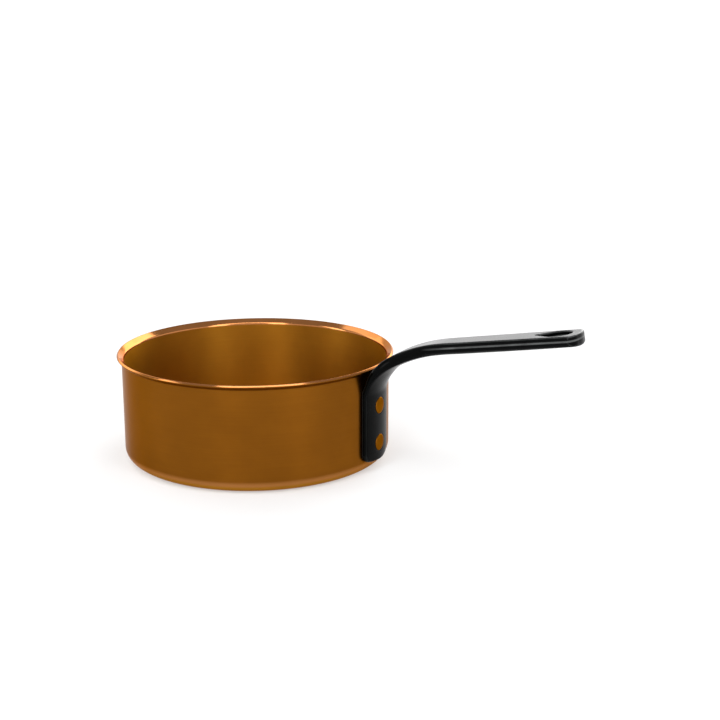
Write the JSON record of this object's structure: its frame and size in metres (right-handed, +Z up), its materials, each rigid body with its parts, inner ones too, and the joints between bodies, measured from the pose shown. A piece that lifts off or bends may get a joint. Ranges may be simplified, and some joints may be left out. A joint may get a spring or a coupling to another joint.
{
  "type": "saucepan",
  "caption": "Straight-sided copper saucepan with a flared lip and a riveted cast iron strap handle with a hanging hole.",
  "frame": {"origin": "centre of the base's underside, on the pan's axis", "axes": "+Z up along the pan's axis, +X from the pan's axis along the handle, +Y completes the right-handed frame"},
  "size_m": [0.3583, 0.2068, 0.1208],
  "materials": {
    "pan_copper": "brushed copper, unlined",
    "handle_iron": "black cast iron, smooth satin",
    "rivet_copper": "satin copper"
  },
  "bodies": {
    "root": {"pan_body": "pan_copper", "handle": "handle_iron", "rivet_lower": "rivet_copper", "rivet_upper": "rivet_copper"}
  },
  "joints": []
}
